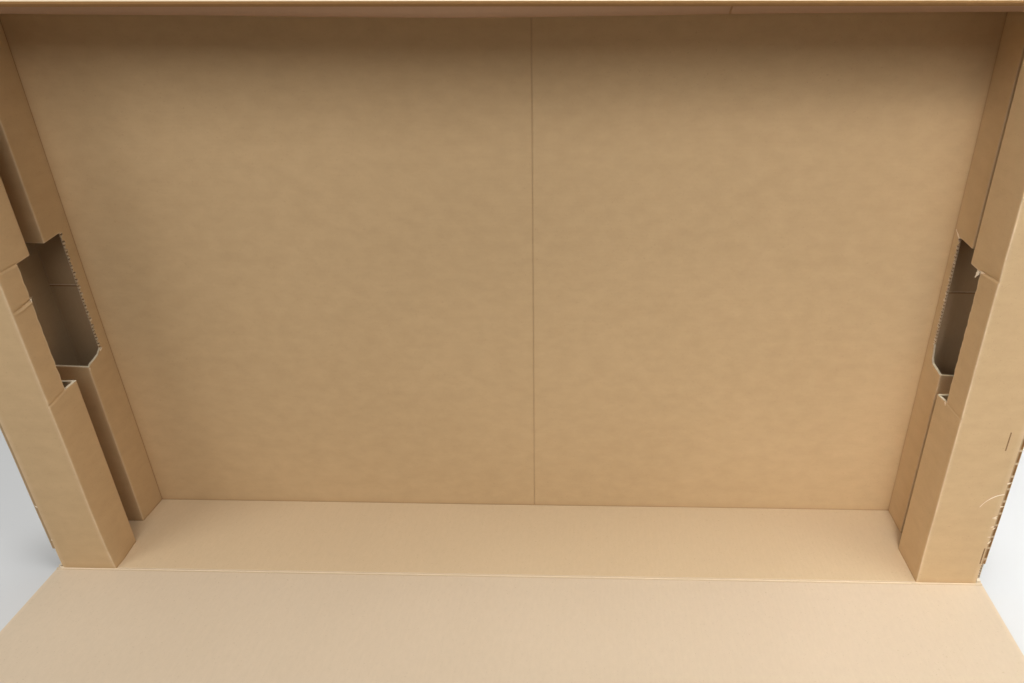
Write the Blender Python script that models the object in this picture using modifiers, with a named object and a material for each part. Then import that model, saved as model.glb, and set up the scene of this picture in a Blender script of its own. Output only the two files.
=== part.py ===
"""Cardboard bike box, standing upright and opened at the front.

The outer carton is heavy board: a tube of bottom, ends and top, closed at the
back by two half-height flaps and open at the front, where the lower flap lies
on the ground and the upper one is folded back over the top. Inside stand two
wheel inserts, each one sheet of lighter board walked round a front post, a
wheel channel and a rear post, with a window through all of them.

Metres, +Z up, +Y into the box. The origin is the middle of the underside.
"""

import math

import bmesh
import bpy
from mathutils import Matrix, Vector

# Boards and fit
OUTER_BOARD = 0.0065
LINER_BOARD = 0.005
TOUCH_GAP = 0.0003
FOLD_RADIUS = 0.0006
FOLD_LEG = 0.002
FOLD_STEPS = 4
SAME_PLACE = 0.00001

# Outer carton
CARTON_LENGTH = 1.814
CARTON_DEPTH = 0.215
CLEAR_HEIGHT = 1.011
BACK_SEAM_RISE = 0.5215
FLAP_MEETING_GAP = 0.001
FLAP_TAPER = 0.02
FLANGE_WIDTH = 0.045
FLANGE_RELIEF = 0.045
SLOT_LENGTH = 0.022
SLOT_PITCH = 0.028
SLOT_WIDTH = 0.0025
SLOT_SETBACK = 0.0085
TAB_HEIGHT = 0.05

# Hand holes, each still filled by its flap
HAND_HOLE_LENGTH = 0.11
HAND_HOLE_HEIGHT = 0.036
HAND_HOLE_RISE = 0.5
HAND_HOLE_CORNER = 0.015
DIE_GAP = 0.0005

# Wheel inserts
LEFT_POST_SETBACK = 0.112
RIGHT_POST_SETBACK = 0.125
LEFT_POST_DEPTH = 0.075
RIGHT_POST_DEPTH = 0.091
REAR_POST_STEP = 0.022
REAR_POST_START = 0.135
STRIP_SETBACK = 0.012
BACK_SEAM_X = 0.034
WINDOW_BOTTOM = 0.382
WINDOW_HEIGHT = 0.252
WINDOW_START = 0.0485
WINDOW_END = 0.175
WINDOW_CHAMFER_RUN = 0.016
WINDOW_CHAMFER_RISE = 0.038
SCORE_DEPTH = 0.0008

# Staples, flat wire
WIRE_WIDTH = 0.0023
WIRE_THICKNESS = 0.0009
WIRE_BEND = 0.0004
CROWN = 0.04
CLINCH = 0.01
STRIP_STAPLES = 4
STRIP_STAPLE_FIRST = 0.07
STRIP_STAPLE_PITCH = 0.262
STRIP_STAPLE_SETBACK = 0.025
STRIP_STAPLE_STAGGER = 0.0097
TAB_STAPLE_SPACING = 0.036

# Seam tape
TAPE_WIDTH = 0.07
TAPE_THICKNESS = 0.0003
TAPE_WRAP = 0.045

# Levels and planes worked out from the sizes above
END_X = CARTON_LENGTH / 2
END_INNER_X = END_X - OUTER_BOARD
FRONT_Y = -CARTON_DEPTH / 2
BACK_Y = CARTON_DEPTH / 2
BACK_INNER_Y = BACK_Y - OUTER_BOARD
FLOOR_Z = OUTER_BOARD
CEILING_Z = FLOOR_Z + CLEAR_HEIGHT
TOP_Z = CEILING_Z + OUTER_BOARD
FOLD_REACH = OUTER_BOARD + FOLD_RADIUS + FOLD_LEG
SEAM_Z = FLOOR_Z + BACK_SEAM_RISE

LINER_BACK_Y = BACK_INNER_Y - TOUCH_GAP - LINER_BOARD
CHANNEL_BACK_Y = FRONT_Y + REAR_POST_START
CHANNEL_END_X = END_INNER_X - TOUCH_GAP - LINER_BOARD
STRIP_EDGE_X = END_X - STRIP_SETBACK
FLANGE_FRONT_Y = FRONT_Y + LINER_BOARD + TOUCH_GAP
FLANGE_BACK_Y = FLANGE_FRONT_Y + OUTER_BOARD
FLANGE_EDGE_X = END_INNER_X - FLANGE_WIDTH
WINDOW_FRONT_Y = FRONT_Y + WINDOW_START
WINDOW_REAR_Y = FRONT_Y + WINDOW_END
WINDOW_LOW_Z = FLOOR_Z + WINDOW_BOTTOM
WINDOW_HIGH_Z = WINDOW_LOW_Z + WINDOW_HEIGHT
HAND_HOLE_TOP_Z = FLOOR_Z + HAND_HOLE_RISE + HAND_HOLE_HEIGHT / 2

# Path planes: where a path's two directions and the way across it point
PLAN = Matrix(((1, 0, 0), (0, 1, 0), (0, 0, 1))).to_4x4()
FRONT_ELEVATION = Matrix(((1, 0, 0), (0, 0, 1), (0, 1, 0))).to_4x4()
SIDE_ELEVATION = Matrix(((0, 0, 1), (1, 0, 0), (0, 1, 0))).to_4x4()
UPRIGHT_FRONT = Matrix(((0, 0, 1), (0, 1, 0), (1, 0, 0))).to_4x4()
UPRIGHT_LEFT = Matrix(((0, 1, 0), (0, 0, 1), (1, 0, 0))).to_4x4()


def clear_scene():
    """Remove every object, so that the script starts from nothing."""
    for leftover in list(bpy.data.objects):
        bpy.data.objects.remove(leftover, do_unlink=True)


def new_collection(name):
    """A collection linked to the scene."""
    collection = bpy.data.collections.new(name)
    bpy.context.scene.collection.children.link(collection)
    return collection


def new_material(name, colour, roughness, metallic=0.0):
    """A Principled material of one plain colour."""
    material = bpy.data.materials.new(name)
    material.use_nodes = True
    shader = material.node_tree.nodes["Principled BSDF"]
    shader.inputs["Base Color"].default_value = (*colour, 1.0)
    shader.inputs["Roughness"].default_value = roughness
    shader.inputs["Metallic"].default_value = metallic
    material.diffuse_color = (*colour, 1.0)
    return material


def add_object(name, mesh, collection, material=None):
    """Link a mesh to a collection as a named object."""
    obj = bpy.data.objects.new(name, mesh)
    collection.objects.link(obj)
    if material:
        mesh.materials.append(material)
    return obj


def offset_path(corners, distance):
    """Move an open path sideways, to its left, keeping its corners mitred."""
    sides = []
    for start, end in zip(corners, corners[1:]):
        along = (end - start).normalized()
        sides.append(Vector((-along.y, along.x)))
    moved = [corners[0] + sides[0] * distance]
    for corner, before, after in zip(corners[1:], sides, sides[1:]):
        moved.append(corner + (before + after) * distance / (1 + before.dot(after)))
    moved.append(corners[-1] + sides[-1] * distance)
    return moved


def fold_path(corners, radius, steps=FOLD_STEPS):
    """Round each inner corner of an open path with an arc."""
    points = [corners[0]]
    for before, corner, after in zip(corners, corners[1:], corners[2:]):
        back = (before - corner).normalized()
        ahead = (after - corner).normalized()
        half = back.angle(ahead) / 2
        centre = corner + (back + ahead).normalized() * radius / math.sin(half)
        start = corner + back * radius / math.tan(half) - centre
        turn = start.angle_signed(corner + ahead * radius / math.tan(half) - centre)
        for step in range(steps + 1):
            angle = -turn * step / steps
            points.append(centre + Matrix.Rotation(angle, 2) @ start)
    points.append(corners[-1])
    kept = points[:1]
    for point in points[1:]:
        if (point - kept[-1]).length > SAME_PLACE:
            kept.append(point)
    return kept


def folded_sheet(name, corners, thickness, low, high, plane, collection, material, radius=FOLD_RADIUS):
    """A sheet that follows a path through its middle, with a fold at each corner.

    The path lies in the first two directions of the plane, and the sheet runs
    from low to high in the third.
    """
    points = fold_path([Vector(corner) for corner in corners], radius + thickness / 2)
    sheet = bmesh.new()
    lower = [sheet.verts.new(plane @ Vector((*point, low))) for point in points]
    upper = [sheet.verts.new(plane @ Vector((*point, high))) for point in points]
    for index in range(len(points) - 1):
        sheet.faces.new((lower[index], lower[index + 1], upper[index + 1], upper[index]))
    for edge in sheet.edges:
        edge.smooth = not edge.is_boundary
    mesh = bpy.data.meshes.new(name)
    sheet.to_mesh(mesh)
    sheet.free()
    mesh.shade_smooth()
    obj = add_object(name, mesh, collection, material)
    solidify = obj.modifiers.new("Board", "SOLIDIFY")
    solidify.thickness = thickness
    solidify.offset = 0
    solidify.use_even_offset = True
    return obj


def flat_board(name, low, high, collection, material, round_edges=None, rounding=0.0):
    """A flat board between two corners; round_edges picks the edges that are folds."""
    block = bmesh.new()
    bmesh.ops.create_cube(block, size=1.0)
    low, high = Vector(low), Vector(high)
    middle, span = (low + high) / 2, high - low
    for vert in block.verts:
        vert.co = middle + Vector([vert.co[axis] * span[axis] for axis in range(3)])
    mesh = bpy.data.meshes.new(name)
    if round_edges:
        weights = block.edges.layers.float.new("bevel_weight_edge")
        for edge in block.edges:
            edge[weights] = float(round_edges((edge.verts[0].co + edge.verts[1].co) / 2 - middle))
    block.to_mesh(mesh)
    block.free()
    obj = add_object(name, mesh, collection, material)
    if round_edges:
        bevel = obj.modifiers.new("Fold", "BEVEL")
        bevel.limit_method = "WEIGHT"
        bevel.width = rounding
        bevel.segments = FOLD_STEPS
    return obj


def flat_outline(name, outline, low, high, plane, collection):
    """A closed outline, filled and given its thickness, as a mesh."""
    curve = bpy.data.curves.new(name, "CURVE")
    curve.dimensions = "2D"
    curve.fill_mode = "BOTH"
    curve.extrude = (high - low) / 2
    spline = curve.splines.new("POLY")
    spline.points.add(len(outline) - 1)
    for point, place in zip(spline.points, outline):
        point.co = (*place, 0, 1)
    spline.use_cyclic_u = True
    drawn = bpy.data.objects.new(name, curve)
    bpy.context.scene.collection.objects.link(drawn)
    bpy.context.view_layer.update()
    evaluated = drawn.evaluated_get(bpy.context.evaluated_depsgraph_get())
    mesh = bpy.data.meshes.new_from_object(evaluated)
    bpy.data.objects.remove(drawn)
    solid = bmesh.new()
    solid.from_mesh(mesh)
    bmesh.ops.remove_doubles(solid, verts=solid.verts, dist=SAME_PLACE)
    solid.transform(plane @ Matrix.Translation((0, 0, (low + high) / 2)))
    bmesh.ops.recalc_face_normals(solid, faces=solid.faces)
    solid.to_mesh(mesh)
    solid.free()
    return add_object(name, mesh, collection)


def box_row(name, boxes, collection):
    """Several separate boxes, each from its low to its high corner, in one mesh."""
    row = bmesh.new()
    for low, high in boxes:
        low, high = Vector(low), Vector(high)
        place = Matrix.Translation((low + high) / 2) @ Matrix.Diagonal((*(high - low), 1))
        bmesh.ops.create_cube(row, size=1.0, matrix=place)
    mesh = bpy.data.meshes.new(name)
    row.to_mesh(mesh)
    row.free()
    return add_object(name, mesh, collection)


def cut(obj, cutter):
    """Take the cutter's shape out of an object."""
    cutter.hide_render = True
    cutter.display_type = "WIRE"
    boolean = obj.modifiers.new(cutter.name, "BOOLEAN")
    boolean.operation = "DIFFERENCE"
    boolean.object = cutter


def put_origin(obj, place):
    """Move an object's origin without moving its shape."""
    obj.data.transform(Matrix.Translation(-Vector(place)))
    obj.location = place


def perforation(name, side, cutters):
    """The row of slots that weakens the fold between an end wall and its flange."""
    low, high = FLOOR_Z + FLANGE_RELIEF, CEILING_Z - FLANGE_RELIEF
    count = int((high - low - SLOT_LENGTH) / SLOT_PITCH)
    first = (low + high - (count - 1) * SLOT_PITCH) / 2
    slot_x = END_X - SLOT_SETBACK
    xs = sorted((side * (slot_x - SLOT_WIDTH / 2), side * (slot_x + SLOT_WIDTH / 2)))
    slots = []
    for index in range(count):
        middle = first + index * SLOT_PITCH
        slots.append(
            (
                (xs[0], FRONT_Y, middle - SLOT_LENGTH / 2),
                (xs[1], FLANGE_BACK_Y + LINER_BOARD, middle + SLOT_LENGTH / 2),
            )
        )
    return box_row(name, slots, cutters)


def build_tube(parts, cutters, board):
    """Bottom, top and end walls, with the joint tab and the front flanges."""
    wall_back = BACK_Y - FOLD_REACH - TOUCH_GAP
    mid = OUTER_BOARD / 2
    bottom_path = (
        (-END_X + mid, FOLD_REACH),
        (-END_X + mid, mid),
        (END_X - mid, mid),
        (END_X - mid, FOLD_REACH),
    )
    folded_sheet(
        "bottom_wall", bottom_path, OUTER_BOARD, FRONT_Y, wall_back, FRONT_ELEVATION, parts, board
    )

    tab_x = -END_X - TOUCH_GAP - mid
    top_path = (
        (tab_x, TOP_Z - TAB_HEIGHT),
        (tab_x, TOP_Z - mid),
        (END_X - mid, TOP_Z - mid),
        (END_X - mid, TOP_Z - FOLD_REACH),
    )
    top = folded_sheet(
        "top_wall", top_path, OUTER_BOARD, FRONT_Y, wall_back, FRONT_ELEVATION, parts, board
    )

    ends = {}
    for side, name in ((-1, "left"), (1, "right")):
        wall_top = CEILING_Z if side < 0 else TOP_Z - FOLD_REACH
        low, high = FOLD_REACH + TOUCH_GAP, wall_top - TOUCH_GAP
        path = (
            (side * (END_X - mid), BACK_INNER_Y - TOUCH_GAP),
            (side * (END_X - mid), FLANGE_FRONT_Y + mid),
            (side * FLANGE_EDGE_X, FLANGE_FRONT_Y + mid),
        )
        wall = folded_sheet(f"{name}_end_wall", path, OUTER_BOARD, low, high, PLAN, parts, board)
        inner_x, outer_x = FLANGE_EDGE_X - OUTER_BOARD, END_X + OUTER_BOARD
        reliefs = []
        for foot, head in (
            (0.0, FLOOR_Z + FLANGE_RELIEF),
            (CEILING_Z - FLANGE_RELIEF, TOP_Z + OUTER_BOARD),
        ):
            xs = sorted((side * inner_x, side * outer_x))
            reliefs.append(
                ((xs[0], FRONT_Y, foot), (xs[1], FLANGE_BACK_Y + FOLD_RADIUS, head))
            )
        cut(wall, box_row(f"{name}_flange_reliefs", reliefs, cutters))
        cut(wall, perforation(f"{name}_perforation", side, cutters))
        ends[side] = wall
    return top, ends


def hand_hole_outline(length, top, bottom, corner):
    """A hand hole's outline from the side: straight along its fold, round below."""
    half = length / 2
    outline = [(-half, top)]
    for centre, start in ((-half + corner, 180), (half - corner, 270)):
        for step in range(FOLD_STEPS + 1):
            angle = math.radians(start + 90 * step / FOLD_STEPS)
            outline.append(
                (centre + corner * math.cos(angle), bottom + corner + corner * math.sin(angle))
            )
    outline.append((half, top))
    return outline


def build_hand_holes(parts, cutters, board, ends):
    """A hole in each end wall, filled by a flap that folds inwards and up."""
    flap_height = HAND_HOLE_HEIGHT - TOUCH_GAP
    swing_room = math.hypot(flap_height, OUTER_BOARD) - flap_height + TOUCH_GAP
    hole = hand_hole_outline(
        HAND_HOLE_LENGTH,
        HAND_HOLE_TOP_Z,
        HAND_HOLE_TOP_Z - HAND_HOLE_HEIGHT - swing_room,
        HAND_HOLE_CORNER,
    )
    flap = hand_hole_outline(
        HAND_HOLE_LENGTH - 2 * DIE_GAP,
        HAND_HOLE_TOP_Z - TOUCH_GAP,
        HAND_HOLE_TOP_Z - HAND_HOLE_HEIGHT,
        HAND_HOLE_CORNER - DIE_GAP,
    )
    for side, name in ((-1, "left"), (1, "right")):
        near, far = sorted((side * END_INNER_X, side * END_X))
        through = flat_outline(
            f"{name}_hand_hole",
            hole,
            near - OUTER_BOARD,
            far + OUTER_BOARD,
            SIDE_ELEVATION,
            cutters,
        )
        cut(ends[side], through)
        leaf = flat_outline(f"{name}_hand_flap", flap, near, far, SIDE_ELEVATION, parts)
        leaf.data.materials.append(board)
        put_origin(leaf, (side * END_INNER_X, 0, HAND_HOLE_TOP_Z))


def build_back(parts, board, tape):
    """The two back flaps, which meet at half height, and the tape over their seam."""
    mid = OUTER_BOARD / 2
    flap_y = BACK_Y - mid
    seam_low, seam_high = SEAM_Z - FLAP_MEETING_GAP / 2, SEAM_Z + FLAP_MEETING_GAP / 2
    bend_y = BACK_Y - FOLD_REACH
    lower = ((bend_y, mid), (flap_y, mid), (flap_y, seam_low))
    upper = ((bend_y, TOP_Z - mid), (flap_y, TOP_Z - mid), (flap_y, seam_high))
    for name, path in (("lower_back_flap", lower), ("upper_back_flap", upper)):
        folded_sheet(name, path, OUTER_BOARD, -END_X, END_X, SIDE_ELEVATION, parts, board)

    skin_x = END_X + TOUCH_GAP + TAPE_THICKNESS / 2
    skin_y = BACK_Y + TOUCH_GAP + TAPE_THICKNESS / 2
    wrap = (
        (-skin_x, BACK_Y - TAPE_WRAP),
        (-skin_x, skin_y),
        (skin_x, skin_y),
        (skin_x, BACK_Y - TAPE_WRAP),
    )
    low, high = SEAM_Z - TAPE_WIDTH / 2, SEAM_Z + TAPE_WIDTH / 2
    folded_sheet("back_seam_tape", wrap, TAPE_THICKNESS, low, high, PLAN, parts, tape)


def taper_flap(flap, far_y):
    """Draw in the two corners of a flap's free edge."""
    for vert in flap.data.vertices:
        if abs(vert.co.y - far_y) < SAME_PLACE:
            vert.co.x -= math.copysign(FLAP_TAPER, vert.co.x)


def build_front_flaps(parts, board):
    """The two front flaps, each with its origin on its fold."""
    flap_height = (TOP_Z - FLOOR_Z - FLAP_MEETING_GAP) / 2
    lower_hinge = (0, FRONT_Y - TOUCH_GAP, FLOOR_Z)
    lower = flat_board(
        "lower_front_flap",
        (-END_X, lower_hinge[1] - flap_height, 0),
        (END_X, lower_hinge[1], FLOOR_Z),
        parts,
        board,
    )
    taper_flap(lower, lower_hinge[1] - flap_height)
    put_origin(lower, lower_hinge)

    upper_hinge = (0, FRONT_Y - OUTER_BOARD - 2 * TOUCH_GAP, TOP_Z)
    upper = flat_board(
        "upper_front_flap",
        (-END_X, upper_hinge[1] + TOUCH_GAP, TOP_Z + TOUCH_GAP),
        (END_X, upper_hinge[1] + flap_height, TOP_Z + TOUCH_GAP + OUTER_BOARD),
        parts,
        board,
        round_edges=lambda edge: edge.y < 0 < edge.z and edge.x == 0,
        rounding=OUTER_BOARD * 0.6,
    )
    taper_flap(upper, upper_hinge[1] + flap_height)
    put_origin(upper, upper_hinge)


def build_insert(side, name, setback, depth, parts, cutters, board):
    """One wheel insert: a sheet walked from the back seam to the front strip."""
    post_x = END_X - setback
    rear_x = post_x + REAR_POST_STEP
    seam_edge = side * BACK_SEAM_X + TOUCH_GAP
    seen = [
        Vector(corner)
        for corner in (
            (seam_edge, LINER_BACK_Y),
            (rear_x, LINER_BACK_Y),
            (rear_x, CHANNEL_BACK_Y),
            (CHANNEL_END_X, CHANNEL_BACK_Y),
            (CHANNEL_END_X, FRONT_Y + depth),
            (post_x, FRONT_Y + depth),
            (post_x, FRONT_Y),
            (STRIP_EDGE_X, FRONT_Y),
        )
    ]
    path = [(side * point.x, point.y) for point in offset_path(seen, LINER_BOARD / 2)]
    low, high = FLOOR_Z + TOUCH_GAP, CEILING_Z - TOUCH_GAP
    insert = folded_sheet(name, path, LINER_BOARD, low, high, PLAN, parts, board)

    window = (
        (WINDOW_FRONT_Y, WINDOW_LOW_Z),
        (WINDOW_REAR_Y - WINDOW_CHAMFER_RUN, WINDOW_LOW_Z),
        (WINDOW_REAR_Y, WINDOW_LOW_Z + WINDOW_CHAMFER_RISE),
        (WINDOW_REAR_Y, WINDOW_HIGH_Z),
        (WINDOW_FRONT_Y, WINDOW_HIGH_Z),
    )
    xs = sorted((side * (post_x - LINER_BOARD), side * (END_X - OUTER_BOARD)))
    cut(insert, flat_outline(f"{name}_window", window, xs[0], xs[1], SIDE_ELEVATION, cutters))

    half_side = SCORE_DEPTH / math.sqrt(2)
    half_length = (WINDOW_FRONT_Y - FRONT_Y) / 2 + LINER_BOARD
    corner = Vector((half_side, half_length, half_side))
    for level, place in ((WINDOW_LOW_Z, "low"), (WINDOW_HIGH_Z, "high")):
        groove = box_row(f"{name}_score_{place}", [(-corner, corner)], cutters)
        groove.data.transform(Matrix.Rotation(math.radians(45), 4, "Y"))
        groove.location = (side * post_x, (WINDOW_FRONT_Y + FRONT_Y) / 2, level)
        cut(insert, groove)
    return insert


def staple(name, place, plane, depth, parts, metal):
    """A flat-wire staple: the crown, two legs through the boards and two clinches.

    Its plane's directions are along the crown, into the boards and across the wire.
    """
    half, sunk = CROWN / 2 - WIRE_THICKNESS / 2, TOUCH_GAP + WIRE_THICKNESS / 2
    foot = depth + TOUCH_GAP + WIRE_THICKNESS / 2
    path = (
        (-half + CLINCH, foot),
        (-half, foot),
        (-half, sunk),
        (half, sunk),
        (half, foot),
        (half - CLINCH, foot),
    )
    wire = WIRE_WIDTH / 2
    pose = Matrix.Translation(place) @ plane
    return folded_sheet(name, path, WIRE_THICKNESS, -wire, wire, pose, parts, metal, WIRE_BEND)


def staple_cutter(name, place, plane, depth, cutters):
    """The groove that the crown sinks into and the two holes for the legs."""
    half = CROWN / 2 + TOUCH_GAP
    inner = half - WIRE_THICKNESS - 2 * TOUCH_GAP
    sunk = WIRE_THICKNESS + 2 * TOUCH_GAP
    through = depth + TOUCH_GAP
    outline = (
        (-half, -sunk),
        (half, -sunk),
        (half, through),
        (inner, through),
        (inner, sunk),
        (-inner, sunk),
        (-inner, through),
        (-half, through),
    )
    reach = WIRE_WIDTH / 2 + TOUCH_GAP
    pose = Matrix.Translation(place) @ plane
    return flat_outline(name, outline, -reach, reach, pose, cutters)


def build_staples(parts, cutters, metal, top, ends, right_insert):
    """Staples through the right front strip and through the joint tab."""
    depth = LINER_BOARD + TOUCH_GAP + OUTER_BOARD
    for index in range(STRIP_STAPLES):
        stagger = STRIP_STAPLE_STAGGER if index % 2 == 0 else -STRIP_STAPLE_STAGGER
        height = FLOOR_Z + STRIP_STAPLE_FIRST + index * STRIP_STAPLE_PITCH
        place = (END_X - STRIP_STAPLE_SETBACK + stagger, FRONT_Y, height)
        staple(f"strip_staple_{index + 1}", place, UPRIGHT_FRONT, depth, parts, metal)
        hole = staple_cutter(f"strip_hole_{index + 1}", place, UPRIGHT_FRONT, depth, cutters)
        cut(right_insert, hole)
        cut(ends[1], hole)

    depth = 2 * OUTER_BOARD + TOUCH_GAP
    hollows = (
        (FLANGE_BACK_Y + FRONT_Y + LEFT_POST_DEPTH - LINER_BOARD) / 2,
        (CHANNEL_BACK_Y + LINER_BOARD + LINER_BACK_Y) / 2,
    )
    places = [
        middle + shift * TAB_STAPLE_SPACING / 2 for middle in hollows for shift in (-1, 1)
    ]
    height = TOP_Z - (FOLD_REACH + TAB_HEIGHT) / 2
    for index, along in enumerate(places):
        place = (-END_X - TOUCH_GAP - OUTER_BOARD, along, height)
        staple(f"joint_staple_{index + 1}", place, UPRIGHT_LEFT, depth, parts, metal)
        hole = staple_cutter(f"joint_hole_{index + 1}", place, UPRIGHT_LEFT, depth, cutters)
        cut(top, hole)
        cut(ends[-1], hole)


def main():
    """Build the whole box."""
    clear_scene()
    parts = new_collection("cardboard_bike_box")
    cutters = new_collection("cutters")
    outer = new_material("outer_board", (0.56, 0.37, 0.2), 0.85)
    liner = new_material("liner_board", (0.52, 0.34, 0.18), 0.88)
    tape = new_material("paper_tape", (0.5, 0.33, 0.17), 0.6)
    metal = new_material("staple_wire", (0.72, 0.6, 0.42), 0.35, 1.0)

    top, ends = build_tube(parts, cutters, outer)
    build_hand_holes(parts, cutters, outer, ends)
    build_back(parts, outer, tape)
    build_front_flaps(parts, outer)
    build_insert(
        -1, "left_wheel_insert", LEFT_POST_SETBACK, LEFT_POST_DEPTH, parts, cutters, liner
    )
    right = build_insert(
        1, "right_wheel_insert", RIGHT_POST_SETBACK, RIGHT_POST_DEPTH, parts, cutters, liner
    )
    build_staples(parts, cutters, metal, top, ends, right)


main()
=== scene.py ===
import math

import bpy
import numpy as np
from mathutils import Matrix, Vector


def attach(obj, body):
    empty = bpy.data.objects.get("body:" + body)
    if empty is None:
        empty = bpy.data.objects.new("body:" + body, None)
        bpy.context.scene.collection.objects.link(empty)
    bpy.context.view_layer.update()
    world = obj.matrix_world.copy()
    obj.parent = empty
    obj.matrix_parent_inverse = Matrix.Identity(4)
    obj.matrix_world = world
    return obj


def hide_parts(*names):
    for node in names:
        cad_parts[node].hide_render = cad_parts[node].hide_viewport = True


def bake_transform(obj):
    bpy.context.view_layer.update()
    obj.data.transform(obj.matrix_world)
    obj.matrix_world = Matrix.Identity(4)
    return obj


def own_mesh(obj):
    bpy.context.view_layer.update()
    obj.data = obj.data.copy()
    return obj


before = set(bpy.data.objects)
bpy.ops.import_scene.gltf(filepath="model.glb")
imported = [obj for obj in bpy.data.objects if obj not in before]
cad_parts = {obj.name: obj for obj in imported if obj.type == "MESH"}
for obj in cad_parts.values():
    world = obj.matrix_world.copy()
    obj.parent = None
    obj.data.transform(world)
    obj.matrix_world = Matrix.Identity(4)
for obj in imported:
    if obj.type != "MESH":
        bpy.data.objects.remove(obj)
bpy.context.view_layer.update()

# The carton's planes, in metres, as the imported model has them
endX, frontY, backY = 0.907, -0.1075, 0.1075
outerBoard, linerBoard = 0.0065, 0.005
floorZ, ceilingZ, topZ = 0.0065, 1.0175, 1.024
half = outerBoard / 2
foldReach = 0.0091       # how far a crease reaches from the corner
seamZ, seamHalf = 0.528, 0.0005    # the back flaps' seam, and half of the gap in it
touchGap = 0.0003        # between boards that touch


# The camera
view = {
    "place": (0.1699, -1.0900, 1.0416),
    "pitch": 25.169,      # degrees down from level
    "yaw": 1.38,          # degrees to the left
    "roll": -0.075,
    "lens": 23.93,        # on a 36 mm sensor
    "shift": (-0.0733, -0.0293),
}


def placeCamera():
    # The camera looks along +Y, turned left by yaw, down by pitch and then rolled about its own axis
    camera = bpy.data.cameras.new("camera")
    camera.lens = view["lens"]
    camera.sensor_width = 36
    camera.shift_x, camera.shift_y = view["shift"]
    camera.clip_start, camera.clip_end = 0.02, 60
    holder = bpy.data.objects.new("camera", camera)
    bpy.context.scene.collection.objects.link(holder)
    yaw, pitch, roll = (math.radians(view[key]) for key in ("yaw", "pitch", "roll"))
    level = Matrix.Rotation(yaw, 4, "Z") @ Matrix.Rotation(math.pi / 2 - pitch, 4, "X")
    holder.matrix_world = Matrix.Translation(view["place"]) @ level @ Matrix.Rotation(roll, 4, "Z")
    bpy.context.scene.camera = holder


# Arithmetic on whole arrays
def bell(value, centre, width):
    # 1 at the centre, falling off as a Gaussian of that width
    return np.exp(-((value - centre) / width) ** 2)


def ease(value, start, end):
    # 0 before start, 1 after end, smooth between
    t = np.clip((value - start) / (end - start), 0, 1)
    return t * t * (3 - 2 * t)


def divide(marks, step):
    # Every mark is a line, and each span between two marks is cut into equal steps
    marks = np.unique(np.round(np.asarray(marks, float), 6))
    lines = [marks[:1]]
    for low, high in zip(marks, marks[1:]):
        lines.append(np.linspace(low, high, max(1, math.ceil((high - low) / step)) + 1)[1:])
    return np.concatenate(lines)


def steps(low, high, pitch):
    # Evenly spaced lines between two values
    return np.linspace(low, high, max(1, round((high - low) / pitch)) + 1)


# How the box has settled: small moves that every piece shares, so that neighbours stay together
settling = {
    "sagX": (-0.91, -0.75, -0.64, -0.50, -0.37, -0.20, -0.03, 0.18, 0.34, 0.56, 0.72, 0.91),
    "sag": (0.0, 0.0010, 0.0023, 0.0036, 0.0046, 0.0068, 0.0084, 0.0057, 0.0028, 0.0011, 0.0003, 0.0),
    "topFlapDroop": 0.010,
    "footKick": 0.007,
    "seamLean": 0.029,
    "backBow": 0.0022,
    "groundFlapLift": 0.0035,
    "stripWave": 0.0005,
}


def settle(place, sagShare=1.0):
    # Each point moves by a sum of smooth bells and waves of its own x, y and z.
    # The folded-back flap doesn't sag with the top wall, so it passes a share of 0.
    x, y, z = place[:, 0].copy(), place[:, 1].copy(), place[:, 2].copy()
    moved = place.copy()
    fine = np.linspace(-0.92, 0.92, 185)
    sag = np.interp(fine, settling["sagX"], settling["sag"])
    sag = np.convolve(np.pad(sag, 9, mode="edge"), np.hanning(19) / np.hanning(19).sum(), "valid")
    frontness = np.clip((0.1 - y) / 0.21, 0, 1) ** 1.3
    moved[:, 2] -= np.interp(x, fine, sag) * ease(z, 0.985, 1.0172) * frontness * sagShare
    behind = np.clip((y - backY) / 0.286, 0, 1)
    moved[:, 2] -= settling["topFlapDroop"] * behind ** 1.6 * (z > topZ) * (0.85 + 0.15 * np.sin(2.3 * x + 0.4))
    foot = bell(x, -0.795, 0.035) * ease(-y, 0.03, 0.09)
    moved[:, 0] += settling["footKick"] * np.exp(-np.clip(z, 0, 2) / 0.055) * foot
    moved[:, 0] += settling["seamLean"] * (z - 0.36) * bell(x, 0.034, 0.15) * ease(y, 0.09, 0.0955)
    bow = np.sin(2.9 * x + 0.6) * np.sin(4.1 * z - 0.5) + 0.6 * np.sin(6.3 * x - 1.1) * np.sin(3.3 * z + 0.9)
    panel = ease(y, 0.08, 0.0955) * bell(z, 0.51, 0.42) * ease(0.9 - np.abs(x), 0, 0.12) * (y < 0.12)
    moved[:, 1] += settling["backBow"] * bow * panel
    out = np.clip((-0.125 - y) / 0.3, 0, 1) * (z < 0.02)
    wave = 0.5 + 0.5 * np.sin(3.4 * x + 1.2) * np.cos(5.5 * y + 0.4)
    moved[:, 2] += settling["groundFlapLift"] * wave * out * ease(0.76 - np.abs(x), 0, 0.12)
    strip = (np.abs(x) > 0.77) * ease(-y, 0.085, 0.1) * (y > -0.114) * ease(z, 0.02, 0.09) * ease(1.0 - z, 0.0, 0.06)
    moved[:, 1] += settling["stripWave"] * strip * (np.sin(11 * z + 2 * x) + np.sin(23 * z + 1.3) * 0.5 + 1.5)
    return moved


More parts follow.
